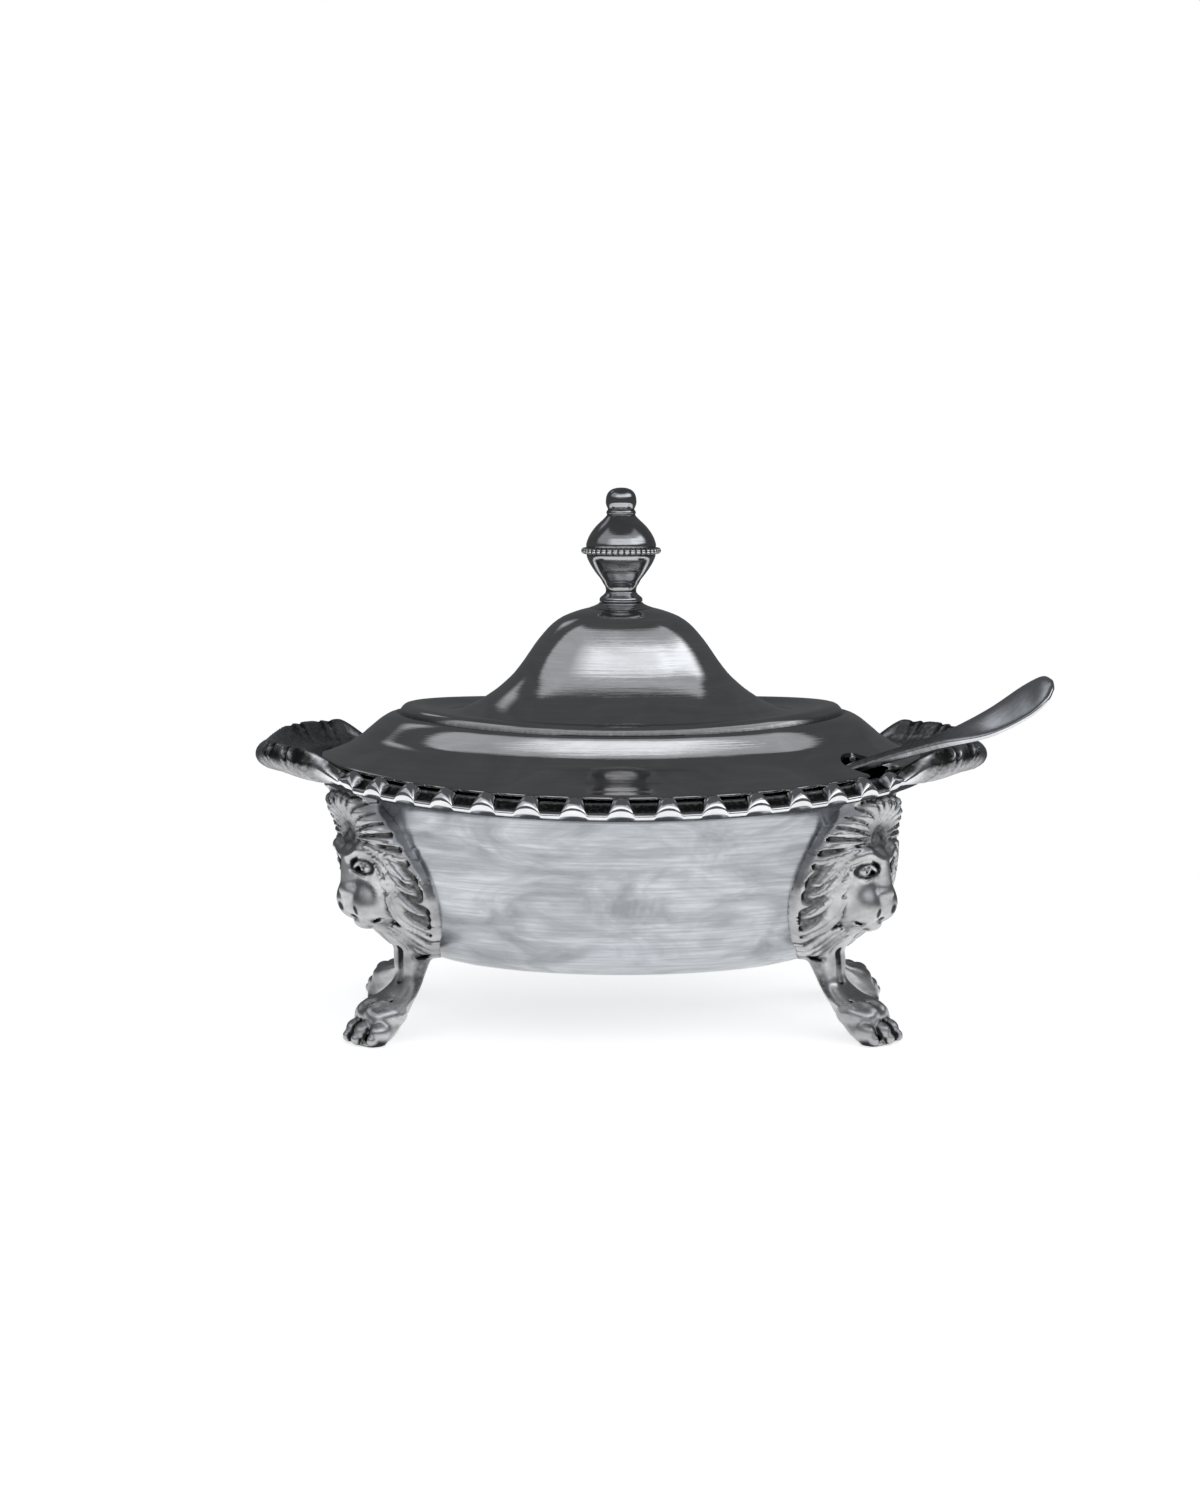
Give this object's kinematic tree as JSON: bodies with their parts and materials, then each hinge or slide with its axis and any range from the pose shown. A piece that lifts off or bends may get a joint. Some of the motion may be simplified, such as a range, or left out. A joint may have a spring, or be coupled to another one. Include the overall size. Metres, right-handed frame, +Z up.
{
  "type": "mustard pot",
  "caption": "Oval boat-shaped silver mustard pot on lion-mask legs, with gadroon rim and ears, glass liner, lift-off domed lid with urn finial, and a spoon in the lid's notch.",
  "frame": {"origin": "floor level under the middle of the bowl", "axes": "+X along the oval towards the spoon's handle, -Y towards the viewer, +Z up"},
  "size_m": [0.1258, 0.0805, 0.0882],
  "materials": {
    "bowl_silver": "pale polished silver plate with fine scratches",
    "border_silver": "polished silver plate, dark in its hollows",
    "leg_silver": "cast silver plate, blackened in its recesses",
    "liner_glass": "clear glass",
    "lid_silver": "polished silver plate, lightly tarnished",
    "finial_silver": "turned and polished silver plate",
    "bead_silver": "polished silver plate",
    "fixing_metal": "dull turned metal",
    "spoon_silver": "polished silver plate"
  },
  "bodies": {
    "pot": {"bowl": "bowl_silver", "rim_border": "border_silver", "leg_front_right": "leg_silver", "leg_front_left": "leg_silver", "leg_back_right": "leg_silver", "leg_back_left": "leg_silver"},
    "liner": {"glass_liner": "liner_glass"},
    "lid": {"lid": "lid_silver", "lid_bezel": "lid_silver", "finial_collar": "finial_silver", "finial": "finial_silver", "finial_beading": "bead_silver", "finial_stud": "fixing_metal", "finial_washer": "fixing_metal", "finial_nut": "fixing_metal"},
    "spoon": {"spoon": "spoon_silver"}
  },
  "joints": [
    {"name": "liner_lift", "type": "slide", "parent": "pot", "child": "liner", "axis": [0, 0, 1], "range_m": [0, 0.05]},
    {"name": "lid_lift", "type": "slide", "parent": "liner", "child": "lid", "axis": [0, 0, 1], "range_m": [0, 0.06]},
    {"name": "spoon_swing", "type": "hinge", "parent": "liner", "child": "spoon", "pos_m": [0.039, -0.0195, 0.0456], "axis": [0, 0, 1], "range_deg": [-12, 12]}
  ]
}
